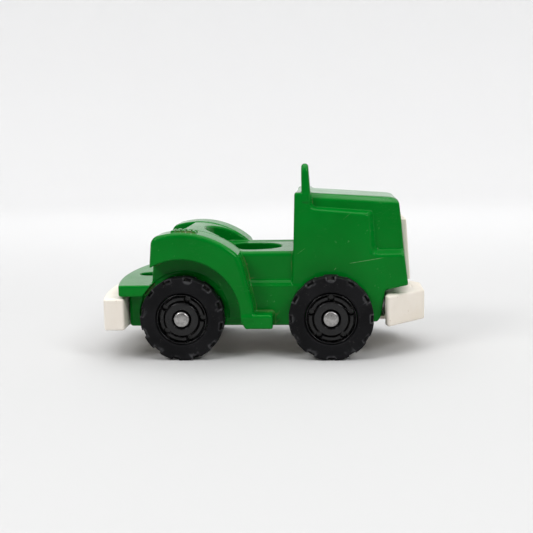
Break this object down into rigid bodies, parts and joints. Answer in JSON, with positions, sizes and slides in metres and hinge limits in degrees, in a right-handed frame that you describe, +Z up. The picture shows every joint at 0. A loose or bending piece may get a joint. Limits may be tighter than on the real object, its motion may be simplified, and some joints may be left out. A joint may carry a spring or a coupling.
{
  "type": "toy truck tractor",
  "caption": "Toy truck tractor with a moulded cab and hood, open driver's seat socket, arched rear fenders, hitch deck, bumpers, grille and free-rolling wheels.",
  "frame": {"origin": "on the floor under the middle of the toy's bounding box", "axes": "+X towards the nose, +Y to the toy's left, +Z up; the axles run along Y"},
  "size_m": [0.1382, 0.0658, 0.0804],
  "materials": {
    "body_green": "smooth moulded plastic, semi-gloss, with light scratches and edge wear",
    "trim_white": "ivory white moulded plastic, slightly yellowed, grimy in its corners",
    "tyre_black": "matte black moulded tyre with fine turned texture",
    "hub_black": "glossy black moulded plastic",
    "axle_steel": "bare steel, tumbled and lightly scuffed at the ends",
    "screw_steel": "zinc plated steel"
  },
  "bodies": {
    "chassis": {"body_shell": "body_green", "base_plate": "trim_white", "front_bumper": "trim_white", "rear_bumper": "trim_white", "grille": "trim_white", "base_screw_1": "screw_steel", "base_screw_2": "screw_steel", "base_screw_3": "screw_steel", "base_screw_4": "screw_steel"},
    "front_axle": {"front_axle": "axle_steel", "front_left_tyre": "tyre_black", "front_left_hub": "hub_black", "front_right_tyre": "tyre_black", "front_right_hub": "hub_black"},
    "rear_axle": {"rear_axle": "axle_steel", "rear_left_tyre": "tyre_black", "rear_left_hub": "hub_black", "rear_right_tyre": "tyre_black", "rear_right_hub": "hub_black"}
  },
  "joints": [
    {"name": "front_axle_spin", "type": "hinge", "parent": "chassis", "child": "front_axle", "pos_m": [0.02915, 0, 0.01745], "axis": [0, 1, 0], "continuous": true},
    {"name": "rear_axle_spin", "type": "hinge", "parent": "chassis", "child": "rear_axle", "pos_m": [-0.0326, 0, 0.01745], "axis": [0, 1, 0], "continuous": true}
  ]
}
